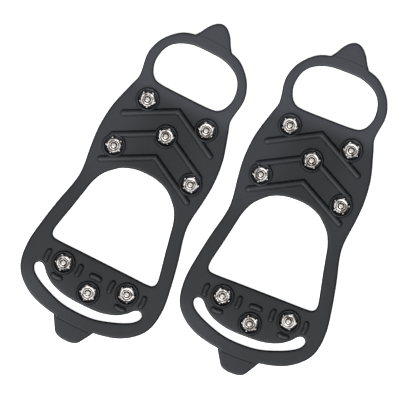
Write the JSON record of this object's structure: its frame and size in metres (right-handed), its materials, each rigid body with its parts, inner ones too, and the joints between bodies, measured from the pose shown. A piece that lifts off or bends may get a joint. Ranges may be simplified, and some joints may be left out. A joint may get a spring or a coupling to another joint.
{
  "type": "shoe ice cleats",
  "caption": "Pair of stretch-on rubber ice cleats with toe loop, open arch, heel band, raised chevron ribs and riveted steel star studs.",
  "frame": {"origin": "on the shoe side's plane, under the middle of the pair's bounding box", "axes": "+Y from heel to toe of the left cleat, +Z away from the shoe, where the studs point, +X to the right cleat"},
  "size_m": [0.192, 0.2475, 0.0062],
  "materials": {
    "rubber": "satin",
    "crown_steel": "bright nickel plate",
    "rivet_steel": "bright",
    "washer_steel": "plain"
  },
  "bodies": {
    "left_forefoot": {"left_forefoot_pad": "rubber", "left_star_crown_1": "crown_steel", "left_rivet_1": "rivet_steel", "left_backing_washer_1": "washer_steel", "left_star_crown_2": "crown_steel", "left_rivet_2": "rivet_steel", "left_backing_washer_2": "washer_steel", "left_star_crown_3": "crown_steel", "left_rivet_3": "rivet_steel", "left_backing_washer_3": "washer_steel", "left_star_crown_4": "crown_steel", "left_rivet_4": "rivet_steel", "left_backing_washer_4": "washer_steel", "left_star_crown_5": "crown_steel", "left_rivet_5": "rivet_steel", "left_backing_washer_5": "washer_steel"},
    "left_heel": {"left_heel_pad": "rubber", "left_star_crown_6": "crown_steel", "left_rivet_6": "rivet_steel", "left_backing_washer_6": "washer_steel", "left_star_crown_7": "crown_steel", "left_rivet_7": "rivet_steel", "left_backing_washer_7": "washer_steel", "left_star_crown_8": "crown_steel", "left_rivet_8": "rivet_steel", "left_backing_washer_8": "washer_steel"},
    "left_toe_loop": {"left_toe_loop": "rubber"},
    "left_heel_band": {"left_heel_band": "rubber"},
    "right_forefoot": {"right_forefoot_pad": "rubber", "right_star_crown_1": "crown_steel", "right_rivet_1": "rivet_steel", "right_backing_washer_1": "washer_steel", "right_star_crown_2": "crown_steel", "right_rivet_2": "rivet_steel", "right_backing_washer_2": "washer_steel", "right_star_crown_3": "crown_steel", "right_rivet_3": "rivet_steel", "right_backing_washer_3": "washer_steel", "right_star_crown_4": "crown_steel", "right_rivet_4": "rivet_steel", "right_backing_washer_4": "washer_steel", "right_star_crown_5": "crown_steel", "right_rivet_5": "rivet_steel", "right_backing_washer_5": "washer_steel"},
    "right_heel": {"right_heel_pad": "rubber", "right_star_crown_6": "crown_steel", "right_rivet_6": "rivet_steel", "right_backing_washer_6": "washer_steel", "right_star_crown_7": "crown_steel", "right_rivet_7": "rivet_steel", "right_backing_washer_7": "washer_steel", "right_star_crown_8": "crown_steel", "right_rivet_8": "rivet_steel", "right_backing_washer_8": "washer_steel"},
    "right_toe_loop": {"right_toe_loop": "rubber"},
    "right_heel_band": {"right_heel_band": "rubber"}
  },
  "joints": [
    {"name": "left_toe_loop_fold", "type": "hinge", "parent": "left_forefoot", "child": "left_toe_loop", "pos_m": [-0.04877, 0.04837, 0.0016], "axis": [1, 0, 0], "range_deg": [-100, 100], "stiffness_Nm_per_rad": 0.05},
    {"name": "left_arch_bend", "type": "hinge", "parent": "left_forefoot", "child": "left_heel", "pos_m": [-0.04877, -0.04763, 0.0016], "axis": [-1, 0, 0], "range_deg": [-45, 90], "stiffness_Nm_per_rad": 0.15},
    {"name": "left_heel_band_fold", "type": "hinge", "parent": "left_heel", "child": "left_heel_band", "pos_m": [-0.04877, -0.08863, 0.0016], "axis": [-1, 0, 0], "range_deg": [-100, 100], "stiffness_Nm_per_rad": 0.05},
    {"name": "right_cleat_lift", "type": "slide", "parent": "left_forefoot", "child": "right_forefoot", "axis": [0, 0, 1], "range_m": [0, 0.12]},
    {"name": "right_toe_loop_fold", "type": "hinge", "parent": "right_forefoot", "child": "right_toe_loop", "pos_m": [0.03597, 0.07587, 0.0016], "axis": [0.9951, 0.0993, 0], "range_deg": [-100, 100], "stiffness_Nm_per_rad": 0.05},
    {"name": "right_arch_bend", "type": "hinge", "parent": "right_forefoot", "child": "right_heel", "pos_m": [0.0455, -0.01966, 0.0016], "axis": [-0.9951, -0.0993, 0], "range_deg": [-45, 90], "stiffness_Nm_per_rad": 0.15},
    {"name": "right_heel_band_fold", "type": "hinge", "parent": "right_heel", "child": "right_heel_band", "pos_m": [0.04958, -0.06046, 0.0016], "axis": [-0.9951, -0.0993, 0], "range_deg": [-100, 100], "stiffness_Nm_per_rad": 0.05}
  ]
}
